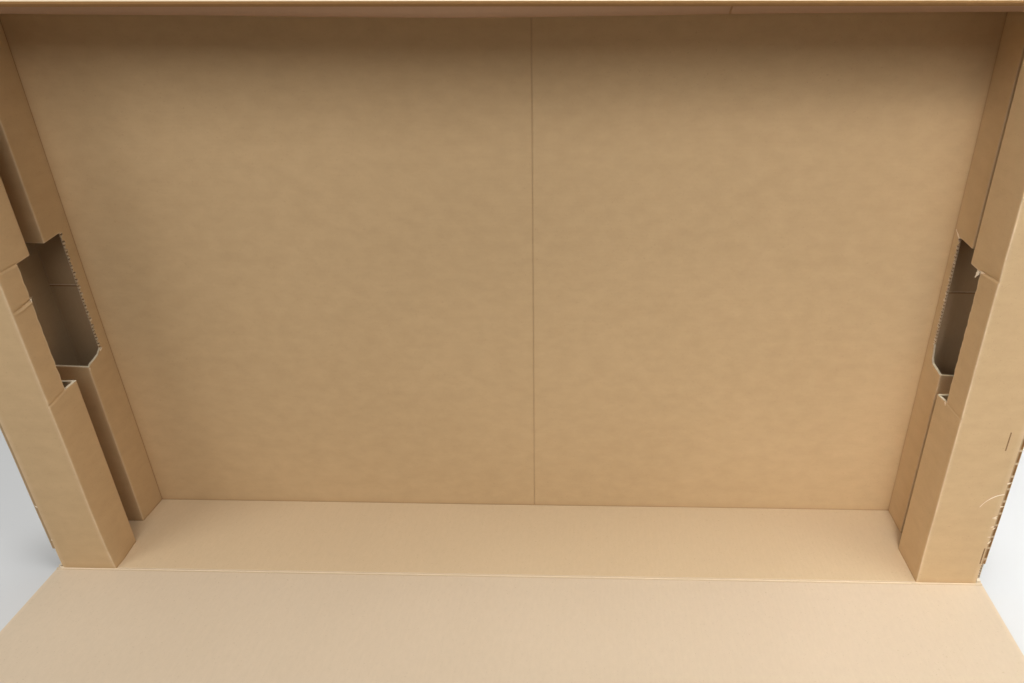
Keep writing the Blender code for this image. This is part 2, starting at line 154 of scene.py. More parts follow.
# Boards
foldLook = {
    "outside": 0.0024,   # radius of the liner that goes round the outside of a fold
    "inside": 0.0007,
    "reach": 0.004,      # how far before and after its corner a fold's arc goes
    "arcLines": 6,
}
board = {
    "singlePitch": 0.0068,
    "doublePitch": (0.0079, 0.0064),
    "middleLiner": 0.46,     # where a double wall's middle liner lies, as a share of the board
    "cell": 0.012,           # the mesh's largest cell
    "flutePaper": 0.0007,
}
skin = 0.00045           # thickness of one liner
rim = 0.0003             # how far the fluting stays behind a cut edge
hollowDepth = 0.018      # how far in from a cut edge the board is hollow between its liners
ribbonReach = 0.02       # and how far in the fluting goes


def foldedPath(corners, axes, mirrored, low, high):
    # A path of straight runs and folds. A place on it is its corners moved to the left, mitred,
    # joined by straight lines, with an arc over the last few millimetres before and after each fold.
    # low and high say where the board's two faces lie left of the path, and w counts from the first.
    corners = np.asarray(corners, float)
    runs = np.diff(corners, axis=0)
    lengths = np.linalg.norm(runs, axis=1)
    ahead = runs / lengths[:, None]
    left = np.stack([-ahead[:, 1], ahead[:, 0]], 1)
    stations = np.concatenate([[0], np.cumsum(lengths)])
    before, after = left[:-1], left[1:]
    mitres = np.concatenate([left[:1], (before + after) / (1 + (before * after).sum(1, keepdims=True)), left[-1:]])
    cross = before[:, 0] * after[:, 1] - before[:, 1] * after[:, 0]
    turns = np.pad(np.arctan2(cross, (before * after).sum(1)), 1)
    reach, count = foldLook["reach"], len(runs)

    def place(s, t, w):
        flat, w, across = np.zeros(s.shape + (2,)), w + low, np.clip(w / (high - low), 0, 1)
        moved = [corner + w[..., None] * mitre for corner, mitre in zip(corners, mitres)]
        radii = [(foldLook["outside"] + (foldLook["inside"] - foldLook["outside"]) * inward)[..., None]
                 for inward in (across if turn > 0 else 1 - across for turn in turns)]
        trims = [radius * math.tan(abs(turn) / 2) for radius, turn in zip(radii, turns)]
        for k in range(count):
            begin, end = moved[k] + ahead[k] * trims[k], moved[k + 1] - ahead[k] * trims[k + 1]
            first, last = stations[k] + reach * (k > 0), stations[k + 1] - reach * (k < count - 1)
            share = ((s - first) / (last - first))[..., None]
            inside = (s >= first - (k == 0)) & (s <= last + (k == count - 1))
            flat[inside] = (begin + (end - begin) * share)[inside]
        for k in range(1, count):
            phi = turns[k] * (s - stations[k] + reach) / (2 * reach)
            x, y = left[k - 1]
            spun = np.stack([x * np.cos(phi) - y * np.sin(phi), x * np.sin(phi) + y * np.cos(phi)], -1)
            arc = moved[k] - ahead[k - 1] * trims[k] + math.copysign(1, turns[k]) * radii[k] * (left[k - 1] - spun)
            inside = np.abs(s - stations[k]) < reach
            flat[inside] = arc[inside]
        point = np.zeros(s.shape + (3,))
        point[..., axes[0]] = -flat[..., 0] if mirrored else flat[..., 0]
        point[..., axes[1]] = flat[..., 1]
        point[..., axes[2]] = t
        return point

    marks = [0, stations[-1]]
    for fold in stations[1:-1]:
        marks += [*(fold + reach * np.linspace(-1, 1, foldLook["arcLines"] + 1)), fold - 2 * reach, fold + 2 * reach]
    return place, stations, [m for m in marks if 0 <= m <= stations[-1]]


def shellFaces(keep):
    # A face stands wherever a kept cell meets one that isn't kept, or the outside, and faces away from it
    shape = tuple(n + 1 for n in keep.shape)
    corner = np.arange(np.prod(shape)).reshape(shape)
    faces, cells, kinds = [], [], []
    for axis in range(3):
        across = [np.zeros(3, int) for _ in range(4)]
        across[1][(axis + 1) % 3] = across[2][(axis + 1) % 3] = 1
        across[2][(axis + 2) % 3] = across[3][(axis + 2) % 3] = 1
        edge = [(0, 0)] * 3
        edge[axis] = (1, 1)
        solid = np.moveaxis(np.pad(keep, edge), axis, 0)
        for outward in (True, False):
            before, after = (solid[:-1], solid[1:]) if outward else (solid[1:], solid[:-1])
            where = np.argwhere(np.moveaxis(before & ~after, 0, axis))
            quad = np.stack([corner[tuple((where + step).T)] for step in across], 1)
            faces.append(quad if outward else quad[:, ::-1])
            own = where.copy()
            own[:, axis] -= 1 if outward else 0
            cells.append(own)
            kinds.append(np.full(len(where), axis))
    return np.concatenate(faces), np.concatenate(cells), np.concatenate(kinds)


paper, cutEdge, fluting = 0, 1, 2    # material slots of a board


def shellOf(place, s, t, w, faces, slots, wear, alongS):
    # What a mesh needs of one shell. Its map's first number runs along the flutes and its second
    # across them, in metres.
    s, t, w, wear = np.broadcast_arrays(s[..., None], t[..., None], w, wear[..., None])
    flat = (s, t) if alongS else (t, s)
    return {
        "points": place(s, t, w).reshape(-1, 3),
        "faces": faces,
        "slots": slots,
        "uv": np.stack(flat, -1).reshape(-1, 2),
        "wear": wear.reshape(-1),
    }


def boardShell(place, sLines, tLines, levels, keep, core, alongS, warp=None, dents=None, wear=None, torn=None):
    # A board is a block of cells: along its path, along its height and through its thickness.
    # Liners stand where keep says, and the space between them is filled only where core says.
    # The first liner is missing where torn says.
    s, t = np.meshgrid(sLines, tLines, indexing="ij")
    warpedS, warpedT = warp(s, t) if warp else (s, t)
    sink = dents(warpedS, warpedT) if dents else np.zeros_like(s)
    middleS = (s[:-1, :-1] + s[1:, 1:]) / 2
    middleT = (t[:-1, :-1] + t[1:, 1:]) / 2
    sheet = keep(middleS, middleT)
    filled = sheet & core(middleS, middleT)
    layers = [sheet if k % 2 == 0 else filled for k in range(len(levels) - 1)]
    if torn:
        layers[0] = sheet & ~torn(middleS, middleT)
    faces, cells, kinds = shellFaces(np.stack(layers, 2))
    level = faces[:, 0] % len(levels)
    facing = (level == 0) | (level == len(levels) - 1)
    rim = np.where((cells[:, 2] % 2 == 1) & (kinds == (0 if alongS else 1)), fluting, cutEdge)
    slots = np.where(kinds == 2, np.where(facing, paper, fluting), rim)
    worn = wear(s, t) if wear else np.zeros_like(s)
    return shellOf(place, warpedS, warpedT, np.asarray(levels) + sink[..., None], faces, slots, worn, alongS)


def fluteShell(place, sLines, tLines, middle, height, pitch, alongS, warp=None, dents=None):
    # Fluting paper: a thin sheet whose w is a sine of the distance across the flutes.
    # Its wear value is that sine too: a painted highlight on the side of the board's face and painted shade in the
    # pockets behind.
    s, t = np.meshgrid(sLines, tLines, indexing="ij")
    if warp:
        s, t = warp(s, t)
    thin = board["flutePaper"] / 2
    wave = np.sin(2 * np.pi * (t if alongS else s) / pitch)
    rise = middle + (height / 2 - thin) * wave + (dents(s, t) if dents else 0)
    faces, _, kinds = shellFaces(np.ones((len(sLines) - 1, len(tLines) - 1, 1), bool))
    slots = np.where(kinds == 2, fluting, cutEdge)
    return shellOf(place, s, t, rise[..., None] + np.array([-thin, thin]), faces, slots, -0.85 * wave, alongS)


def volume(points, faces):
    # Signed volume of a closed mesh of quads, by the tetrahedra from the origin
    a, b, c, d = (points[faces[:, k]] for k in range(4))
    return (np.einsum("ij,ij->i", a, np.cross(b, c)) + np.einsum("ij,ij->i", a, np.cross(c, d))).sum() / 6


def pieceLook(materials, body, nodes=(), slot="outer_board", cell=board["cell"], sharp=35, sag=1.0):
    # A piece's materials, its body, the imported nodes that it stands for, its slot (not used), its largest cell,
    # the angle in degrees from which its edges are sharp, and its share of the top wall's sag
    return dict(materials=materials, body=body, nodes=nodes, slot=slot, cell=cell, sharp=sharp, sag=sag)


def putPiece(name, mesh, look):
    # The object that holds a mesh, with all that the frame has to know of it
    piece = bpy.data.objects.new(name, mesh)
    bpy.context.scene.collection.objects.link(piece)
    if look["body"]:
        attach(piece, look["body"])
    if look["nodes"]:
        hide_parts(*look["nodes"])
    print("made", name, len(mesh.loops) - 2 * len(mesh.polygons), "triangles")
    return piece


def newPiece(name, shells, look):
    # Shells are put together in one mesh, turned outwards, and settled with the rest of the box
    parts, count = [], 0
    for shell in shells:
        used, back = np.unique(shell["faces"], return_inverse=True)
        quads = back.reshape(shell["faces"].shape)
        own = shell["points"][used]
        if volume(own, quads) < 0:
            quads = quads[:, ::-1]
        sag = shell["sag"][used] if "sag" in shell else np.full(len(used), look["sag"])
        parts.append((own, quads + count, shell["slots"], shell["uv"][used], shell["wear"][used], sag))
        count += len(used)
    points, faces, slots, uv, wear, sag = (np.concatenate(values) for values in zip(*parts))
    mesh = bpy.data.meshes.new(name)
    mesh.vertices.add(len(points))
    mesh.vertices.foreach_set("co", settle(points, sag).astype(np.float32).ravel())
    mesh.loops.add(faces.size)
    mesh.loops.foreach_set("vertex_index", faces.astype(np.int32).ravel())
    mesh.polygons.add(len(faces))
    mesh.polygons.foreach_set("loop_start", np.arange(len(faces), dtype=np.int32) * 4)
    mesh.polygons.foreach_set("material_index", slots.astype(np.int32))
    mesh.update(calc_edges=True)
    flatMap = mesh.uv_layers.new(name="boardMap")
    flatMap.data.foreach_set("uv", uv[faces.ravel()].astype(np.float32).ravel())
    mesh.attributes.new("wear", "FLOAT", "POINT").data.foreach_set("value", wear.astype(np.float32))
    for material in look["materials"]:
        mesh.materials.append(material)
    mesh.shade_smooth()
    mesh.set_sharp_from_angle(angle=math.radians(look["sharp"]))
    return putPiece(name, mesh, look)


def levelsOf(thickness):
    # Where the liners and the fluting between them begin and end, through a board's thickness
    if thickness == linerBoard:
        return [0, skin, thickness - skin, thickness]
    inner = thickness * board["middleLiner"]
    return [0, skin, inner, inner + skin, thickness - skin, thickness]


def inset(inside, alongS):
    # True where a point, and the two points hollowDepth from it along the flutes, are all on the board
    ds, dt = (hollowDepth, 0) if alongS else (0, hollowDepth)
    return lambda s, t: inside(s, t) & inside(s + ds, t + dt) & inside(s - ds, t - dt)


def wearAndShadeLines(*lines):
    # Rubbed pale above 0 and darkened with painted shade below 0: lines are (which, where, strength, width), summed as
    # bells
    return lambda s, t: sum(strength * bell(s if which == "s" else t, where, width)
                            for which, where, strength, width in lines)


def between(low, high, marks):
    # Lines from low to high, with one on each mark between them
    return divide([low, high] + [m for m in marks if low < m < high], board["cell"])


def ribbons(place, areas, levels, alongS, marks, warp, dents):
    # Fluting behind each cut edge that shows: areas are (s low, s high, t low, t high)
    pitches = [board["singlePitch"]] if len(levels) == 4 else board["doublePitch"]
    shells = []
    for number, pitch in enumerate(pitches):
        low, high = levels[2 * number + 1], levels[2 * number + 2]
        for s0, s1, t0, t1 in areas:
            if alongS:
                sLines, tLines = between(s0, s1, marks[0]), steps(t0, t1, pitch / 10)
            else:
                sLines, tLines = steps(s0, s1, pitch / 10), between(t0, t1, marks[1])
            shells.append(fluteShell(place, sLines, tLines, (low + high) / 2, high - low, pitch, alongS, warp, dents))
    return shells


def grooves(lines):
    # Creases pressed into a board: each is (s0, t0, s1, t1, depth, width), a straight line with a bell across it
    def sink(s, t):
        moved = np.zeros_like(s)
        for s0, t0, s1, t1, depth, width in lines:
            ds, dt = s1 - s0, t1 - t0
            share = np.clip(((s - s0) * ds + (t - t0) * dt) / (ds * ds + dt * dt), 0, 1)
            away = np.hypot(s - s0 - share * ds, t - t0 - share * dt)
            moved += depth * bell(away, 0, width)
        return moved

    return sink


def makeBoard(name, path, thickness, sMarks, tMarks, region, wide, areas, look, alongS=True,
              warp=None, dents=None, wear=None, extra=(), torn=None):
    # One board: its liners and filled middle, and the fluting behind the cut edges that show
    place, _, folds = path
    sMarks, levels = [*sMarks, *folds], levelsOf(thickness)
    sLines, tLines = divide(sMarks, look["cell"]), divide(tMarks, look["cell"])
    shells = [boardShell(place, sLines, tLines, levels, region, inset(wide, alongS), alongS, warp, dents, wear, torn)]
    shells += ribbons(place, areas, levels, alongS, (sMarks, tMarks), warp, dents)
    newPiece(name, shells + list(extra), look)


def everywhere(s, t):
    return np.ones_like(s, bool)


def box2(s0, s1, t0, t1):
    # A rectangle as a test on arrays
    return lambda s, t: (s > s0) & (s < s1) & (t > t0) & (t < t1)


# Materials
def addNode(tree, kind, settings=None, inputs=None):
    # One shader node, its settings, and its inputs by name or number: a value, or another node's output
    made = tree.nodes.new("ShaderNode" + kind)
    for key, value in (settings or {}).items():
        setattr(made, key, value)
    for key, value in (inputs or {}).items():
        if isinstance(value, bpy.types.NodeSocket):
            tree.links.new(value, made.inputs[key])
        else:
            made.inputs[key].default_value = value
    return made


def newMaterial(name):
    material = bpy.data.materials.new(name)
    material.use_nodes = True
    return material, material.node_tree, material.node_tree.nodes["Principled BSDF"]


def noise(tree, vector, scale, detail, rough=0.5):
    inputs = {"Vector": vector, "Scale": scale, "Detail": detail, "Roughness": rough}
    return addNode(tree, "TexNoise", None, inputs).outputs["Fac"]


def maths(tree, operation, first, second=0.0):
    return addNode(tree, "Math", {"operation": operation}, {0: first, 1: second}).outputs[0]


def mapRange(tree, value, low, high):
    return addNode(tree, "MapRange", None, {"Value": value, "To Min": low, "To Max": high}).outputs[0]


def mixColour(tree, share, first, second):
    return addNode(tree, "Mix", {"data_type": "RGBA"}, {0: share, 6: first, 7: second}).outputs[2]


def colourRamp(tree, value, low, high):
    # From one colour at 0 to another at 1
    ramp = addNode(tree, "ValToRGB", None, {0: value})
    for element, colour in zip(ramp.color_ramp.elements, (low, high)):
        element.color = (*colour, 1)
    return ramp.outputs[0]


def kraftMaterial(name, look):
    # Brown paper: broad clouds, blotches, streaks of fibre across the flutes, grain, faint ribs over the
    # flutes and specks, with edges that its wear and shade attribute rubs pale above 0 and darkens with painted shade
    # below it
    material, tree, shader = newMaterial(name)
    place = addNode(tree, "TexCoord").outputs["Object"]
    flat = addNode(tree, "UVMap", {"uv_map": "boardMap"}).outputs["UV"]

    def scaled(key):
        return addNode(tree, "Mapping", None, {"Vector": flat, "Scale": look[key]}).outputs[0]

    def weighted(total, parts):
        # The total plus each part times its weight
        for part, weight in parts:
            total = maths(tree, "ADD", total, maths(tree, "MULTIPLY", part, weight))
        return total

    blotches = noise(tree, scaled("blotchScale"), 1.0, 4, 0.6)
    streaks = noise(tree, scaled("fibreScale"), 1.0, 3, 0.65)
    grain = noise(tree, place, 700, 3, 0.7)
    across = addNode(tree, "SeparateXYZ", None, {0: flat}).outputs["Y"]
    ribs = maths(tree, "SINE", maths(tree, "MULTIPLY", across, 2 * math.pi / look["pitch"]))
    ribs = maths(tree, "MULTIPLY", ribs, maths(tree, "MULTIPLY", noise(tree, place, 5.0, 2), look["ribs"]))
    spots = ((noise(tree, place, 2.3, 3), look["clouds"]), (blotches, look["blotches"]),
             (streaks, look["streaks"]), (grain, look["grain"]))
    tone = weighted(0.5 - sum(weight for _, weight in spots) / 2, (*spots, (ribs, 0.05)))
    specks = maths(tree, "GREATER_THAN", noise(tree, place, 260, 2, 0.8), look["speckLevel"])
    colour = mixColour(tree, maths(tree, "MULTIPLY", specks, look["specks"]),
                       colourRamp(tree, tone, look["dark"], look["light"]), (*look["speck"], 1))
    wear = addNode(tree, "Attribute", {"attribute_name": "wear"}).outputs["Fac"]
    patchy = weighted(0.1, ((noise(tree, place, 90, 3), 1.2),))
    # Above 0 the rubbed colour is mixed in, and below 0 the crease colour, which is painted shade
    for share, key in ((patchy, "worn"), (-1.0, "crease")):
        clamped = addNode(tree, "Clamp", None, {0: maths(tree, "MULTIPLY", wear, share)}).outputs[0]
        colour = mixColour(tree, clamped, colour, (*look[key], 1))
    tree.links.new(colour, shader.inputs["Base Color"])
    rough = mapRange(tree, blotches, look["roughness"] - 0.05, look["roughness"] + 0.05)
    tree.links.new(rough, shader.inputs["Roughness"])
    shader.inputs["Specular IOR Level"].default_value = 0.3
    height = weighted(0.0, ((ribs, 0.00012), (streaks, 0.00006), (grain, 0.00005), (blotches, 0.0003)))
    bump = addNode(tree, "Bump", None, {"Strength": 1.0, "Distance": 1.0, "Height": height})
    tree.links.new(bump.outputs[0], shader.inputs["Normal"])
    return material


kraft = {
    "dark": (0.50, 0.385, 0.25),
    "light": (0.74, 0.585, 0.405),
    "speck": (0.26, 0.15, 0.07),
    "worn": (0.80, 0.65, 0.46),
    # crease: the dark colour of painted shade in folds, corners, gaps and slots
    "crease": (0.27, 0.135, 0.045),
    "clouds": 0.35,
    "blotches": 0.26,
    "streaks": 0.16,
    "grain": 0.2,
    "ribs": 0.3,
    "pitch": 0.0079,
    "fibreScale": (900, 160, 1),
    "blotchScale": (60, 110, 1),
    "specks": 0.22,
    "speckLevel": 0.68,
    "roughness": 0.82,
}


def cutMaterial(name, colour):
    # Raw board: pale, loose fibres
    dark, light, worn = (tuple(min(1, c * share) for c in colour) for share in (0.8, 1.15, 1.4))
    return kraftMaterial(name, dict(kraft, dark=dark, light=light, worn=worn, grain=1.0, ribs=0.0, roughness=0.9))


rawEdge = cutMaterial("rawEdge", (0.86, 0.73, 0.54))
flutePaper = cutMaterial("flutePaper", (0.64, 0.49, 0.32))


def boardSet(name, **changes):
    # A board's paper, its raw edge and its fluting
    return kraftMaterial(name, dict(kraft, **changes)), rawEdge, flutePaper


outerSet = boardSet("outerPaper")
linerSet = boardSet("linerPaper", dark=(0.42, 0.28, 0.14), light=(0.67, 0.465, 0.255), pitch=board["singlePitch"],
                    ribs=0.2, blotches=0.45, streaks=0.08, grain=0.15, blotchScale=(26, 40, 1))
# The floor and the ground flap are one sheet: the floor's copy is darker and more saturated as painted shade, the
# flap's paler and whiter as painted light and sheen
shadedFloorSet = boardSet("floorPaper", dark=(0.49, 0.36, 0.215), light=(0.72, 0.55, 0.35))
litFlapSet = boardSet("flapPaper", dark=(0.50, 0.395, 0.27), light=(0.74, 0.60, 0.44), streaks=0.1, grain=0.12)
# The end walls, hand flaps and back flaps: the same kraft darkened as painted shade
shadedWallSet = boardSet("wallPaper", dark=(0.36, 0.25, 0.14), light=(0.56, 0.40, 0.235))
# The folded-back flap's paper, whose fold edge is darkened with an even darker crease colour as painted shade
foldedShadedEdgeSet = boardSet("foldedPaper", crease=(0.13, 0.07, 0.032))
tapeSet = boardSet("tapePaper", dark=(0.36, 0.23, 0.115), light=(0.6, 0.41, 0.23), roughness=0.55)


# The wheel inserts
wheelInsert = {
    "seamX": 0.034,
    "seamHalf": 0.0002,      # half of the gap between the two sheets
    "backY": 0.0957,
    "channelBackY": 0.0275,
    "channelEndX": 0.8952,
    "stripEdgeX": 0.895,
    "low": 0.0068,
    "high": 1.0172,
    "windowLow": 0.39,
    "windowHigh": 0.635,
    "fade": 0.07,            # how far above and below it a window's edge draws the board's lines with it
    "ragged": 0.0005,
    "bite": (0.0027, 0.0019, 0.0134, 0.0007),    # mean depth of the torn liner, and its two waves
    "edgeWear": (0.45, 0.0016),
    "pressed": 0.05,         # share of a scrap's lift that is left under the closed flap
    # where the mesh has more lines: rows as (from, to, step), and columns as distances from an edge
    "rows": ((0.376, 0.4, 0.0015), (0.4, 0.624, 0.0045), (0.624, 0.642, 0.0015)),
    "rearColumns": (0.0012, 0.0024, 0.0036, 0.0048),
    "frontColumns": (0.0015, 0.003, 0.006),
    "seamColumns": (0.0008, 0.0016, 0.003),
}
# sill and head: heights of a window's lower and upper edge at its rear edge, at the rear post's fold,
# at the front post's rear fold and at its front edge. corner: how the sill climbs to the rear edge,
# as distances forward of that edge and heights above the sill. creases are pressed lines in the front
# post's side, as (y, z, y, z, depth, width), and flakes are torn paper, as (run, y or x, z, length,
# width, angle, lift, bend).
insertSides = {
    "left": {
        "side": -1, "postX": 0.795, "rearX": 0.817, "depth": 0.075,
        "windowFront": -0.0635, "windowRear": 0.0665, "rows": ((0.557, 0.575, 0.0015),),
        # rearFold: painted shade along the corner between the rear post's side and the back, as strength and width
        "rearFold": (-1.3, 0.0030),
        "sill": (0.3885, 0.3880, 0.3960, 0.3940),
        "head": (0.6460, 0.6400, 0.6416, 0.6363),
        "corner": ((0, 0.0085, 0.0205, 0.031, 0.036), (0.019, 0.0105, 0.006, 0.0035, 0)),
        "creases": (
            (-0.0635, 0.3940, -0.1075, 0.3850, 0.0013, 0.0017),
            (-0.0635, 0.6363, -0.1075, 0.6335, 0.0011, 0.0017),
            (-0.0625, 0.5710, -0.0945, 0.5645, 0.0022, 0.0019),
            (-0.0625, 0.5668, -0.0900, 0.5610, -0.0013, 0.0020),
            (-0.0625, 0.4700, -0.0800, 0.4730, 0.0006, 0.0018),
        ),
        "flakes": (
            ("rear", 0.0655, 0.4035, 0.008, 0.005, 150, 0.0015),
            ("rear", 0.0310, 0.3860, 0.006, 0.004, -60, 0.0010),
            ("front", -0.0632, 0.5735, 0.006, 0.004, -70, 0.0012),
            ("strip", 0.8935, 0.0080, 0.009, 0.006, 40, 0.0012),
            ("strip", 0.8945, 0.1600, 0.006, 0.003, 60, 0.0008),
            ("strip", 0.8945, 0.0780, 0.005, 0.003, 110, 0.0008),
        ),
    },
    "right": {
        "side": 1, "postX": 0.782, "rearX": 0.804, "depth": 0.091,
        "windowFront": -0.0525, "windowRear": 0.0718, "rows": (),
        "rearFold": (-0.6, 0.0038),
        "sill": (0.3905, 0.3905, 0.3765, 0.3815),
        "head": (0.6463, 0.6418, 0.6322, 0.6298),
        "corner": ((0, 0.0045, 0.0105, 0.030, 0.0385), (0.040, 0.0134, 0.0047, 0.002, 0)),
        "creases": (
            (-0.0525, 0.3815, -0.1075, 0.3813, 0.0013, 0.0017),
            (-0.0525, 0.6315, -0.1075, 0.6352, 0.0016, 0.0019),
            (-0.0545, 0.6275, -0.0850, 0.6300, -0.0008, 0.0022),
        ),
        "flakes": (
            ("rear", 0.0735, 0.6435, 0.020, 0.005, 142, 0.0010),
            ("front", -0.0470, 0.6295, 0.012, 0.009, -100, 0.0018),
            ("front", -0.0525, 0.6300, 0.013, 0.004, 15, 0.0010),
            ("front", -0.0480, 0.3800, 0.007, 0.004, -40, 0.0010),
            ("strip", 0.8945, 0.1960, 0.007, 0.003, 20, 0.0012),
            ("strip", 0.8945, 0.1700, 0.008, 0.003, 170, 0.0010),
            ("strip", 0.8945, 0.1430, 0.006, 0.003, 60, 0.0012),
            ("strip", 0.8945, 0.1080, 0.009, 0.004, 75, 0.0012),
            ("strip", 0.8940, 0.2480, 0.008, 0.004, 30, 0.0010),
            ("strip", 0.8948, 0.2245, 0.048, 0.0026, 188, 0.0030, 56),
            ("strip", 0.8948, 0.1740, 0.009, 0.0016, 195, 0.0012, 25),
            ("strip", 0.8946, 0.1675, 0.007, 0.0014, 170, 0.0012, -20),
            ("strip", 0.8944, 0.1490, 0.006, 0.0022, 175, 0.0012, 10),
            ("strip", 0.8946, 0.1240, 0.006, 0.0016, 160, 0.0012, 25),
        ),
    },
}


def flake(place, s, t, length, width, angle, lift, bend=0.0):
    # A torn scrap of liner: a narrowing strip that turns by bend degrees in all, and curls away from
    # the board by the 1.5th power of the distance to its tip
    ring = np.linspace(0, 1, 13)
    heading = np.radians(angle + bend * (ring[:-1] + ring[1:]) / 2)
    run = np.concatenate([[0], np.cumsum(np.cos(heading))])[:, None] * length / (len(ring) - 1)
    rise = np.concatenate([[0], np.cumsum(np.sin(heading))])[:, None] * length / (len(ring) - 1)
    along, across = np.meshgrid(ring, np.linspace(-1, 1, 4), indexing="ij")
    turned = np.radians(angle + bend * along)
    half = width / 2 * (1 - 0.8 * along) * (1 + 0.25 * np.sin(11 * along + 3 * across))
    sAt = s + run - across * half * np.sin(turned)
    tAt = t + rise + across * half * np.cos(turned)
    w = (-0.00035 - lift * along ** 1.5)[..., None] + np.array([-0.00012, 0.00012])
    faces, _, _ = shellFaces(np.ones((12, 3, 1), bool))
    return shellOf(place, sAt, tAt, w, faces, np.full(len(faces), cutEdge), np.zeros_like(sAt), True)


def makeInsert(name):
    # One sheet along a path with six folds, with a window through both of its posts
    own, look = insertSides[name], wheelInsert
    frontFace = frontY + own["depth"]
    corners = (
        (own["side"] * look["seamX"] + look["seamHalf"], look["backY"]),
        (own["rearX"], look["backY"]),
        (own["rearX"], look["channelBackY"]),
        (look["channelEndX"], look["channelBackY"]),
        (look["channelEndX"], frontFace),
        (own["postX"], frontFace),
        (own["postX"], frontY),
        (look["stripEdgeX"], frontY),
    )
    path = foldedPath(corners, (0, 1, 2), own["side"] < 0, 0, linerBoard)
    place, stations, _ = path
    end = stations[-1]
    rear = stations[1] + look["backY"] - own["windowRear"]
    front = stations[5] + frontFace - own["windowFront"]
    low, high = look["windowLow"], look["windowHigh"]
    bottom, top = look["low"], look["high"]
    runs = {
        "rear": lambda y: stations[1] + look["backY"] - y,
        "front": lambda y: stations[5] + frontFace - y,
        "strip": lambda x: stations[6] + x - own["postX"],
    }
    cornerRun, cornerRise = (np.array(values) for values in own["corner"])
    posts = [rear, stations[2], stations[5], front]

    def warp(s, t):
        # The window's sill and head follow their measured heights, and its front edge is a little ragged
        sill = np.interp(s, posts, own["sill"]) + np.interp(s - rear, cornerRun, cornerRise) - low
        head = np.interp(s, posts, own["head"]) - high
        moved = t + sill * np.clip(1 - np.abs(t - low) / look["fade"], 0, 1)
        moved = moved + head * np.clip(1 - np.abs(t - high) / look["fade"], 0, 1)
        rough = look["ragged"] * (np.sin(190 * t) + 0.7 * np.sin(470 * t + 1.3) + 0.5 * np.sin(1130 * t))
        return s + rough * np.clip(1 - np.abs(s - front) / 0.012, 0, 1), moved

    def region(s, t):
        return ~((s > rear) & (s < front) & (t > low) & (t < high))

    def wide(s, t):
        return region(s, t) & (s > 0) & (s < end)

    # The outer folds and the strip's edge are rubbed pale; the rear fold's corner, the seam between the sheets, and
    # the foot and head are darkened with painted shade
    foldWearAndShadeLines = wearAndShadeLines(
        ("s", stations[6], 0.5, 0.0032), ("s", stations[5], 0.35, 0.003), ("s", stations[2], 0.35, 0.003),
        ("s", stations[1], *own["rearFold"]), ("s", end, 0.3, 0.002), ("s", 0, -0.3, 0.0011),
        ("t", bottom, -0.5, 0.003), ("t", top, -0.3, 0.003),
    )

    def worn(s, t):
        # The cut edges of the window are rubbed pale
        beside, beyond = np.maximum(rear - s, s - front), np.maximum(low - t, t - high)
        away = np.hypot(np.clip(beside, 0, 1), np.clip(beyond, 0, 1))
        strength, width = look["edgeWear"]
        return foldWearAndShadeLines(s, t) + strength * bell(away, 0, width)

    def torn(s, t):
        # The liner is torn back along the window's rear edge, deeper over some flutes than over others
        mean, swing, length, fine = look["bite"]
        bite = mean + swing * np.sin(2 * np.pi * t / length + 0.5) + fine * np.sin(390 * t)
        return (s > rear - bite) & (s < rear) & (t > low) & (t < high)

    lines = [(runs["front"](y0), z0, runs["front"](y1), z1, *press) for y0, z0, y1, z1, *press in own["creases"]]
    scraps = [flake(place, runs[run](at), *rest) for run, at, *rest in own["flakes"] if run != "strip"]
    loose = [flake(place, runs[run](at), *rest) for run, at, *rest in own["flakes"] if run == "strip"]
    depth = hollowDepth + 0.004
    areas = [
        (rim, depth, bottom, top),
        (end - depth, end - rim, bottom, top),
        (rear - depth, rear - rim, low - 0.03, high + 0.012),
        (front + rim, front + depth, low - 0.003, high + 0.003),
    ]
    tMarks = [bottom, bottom + 0.002, bottom + 0.004, low, high, top]
    for first, last, step in look["rows"] + own["rows"]:
        tMarks += list(np.arange(first, last, step))
    sMarks = [0, hollowDepth, end - hollowDepth, end, rear, rear - hollowDepth, front, front + hollowDepth]
    sMarks += [*look["seamColumns"], *(rear + cornerRun)]
    sMarks += [rear - away for away in look["rearColumns"]] + [front + away for away in look["frontColumns"]]
    dressed = pieceLook(linerSet, "carton", (f"{name}_wheel_insert",), "liner_board")
    makeBoard(f"{name}Insert", path, linerBoard, sMarks, tMarks, region, wide, areas, dressed,
              warp=warp, dents=grooves(lines), wear=worn, extra=scraps, torn=torn)
    # The scraps on the front strip, over which the lower flap closes, are a piece with a mesh of its own
    pressed = newPiece(f"{name}StripScraps", loose, pieceLook(linerSet, "carton", (), "liner_board"))
    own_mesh(pressed)


for side in insertSides:
    makeInsert(side)


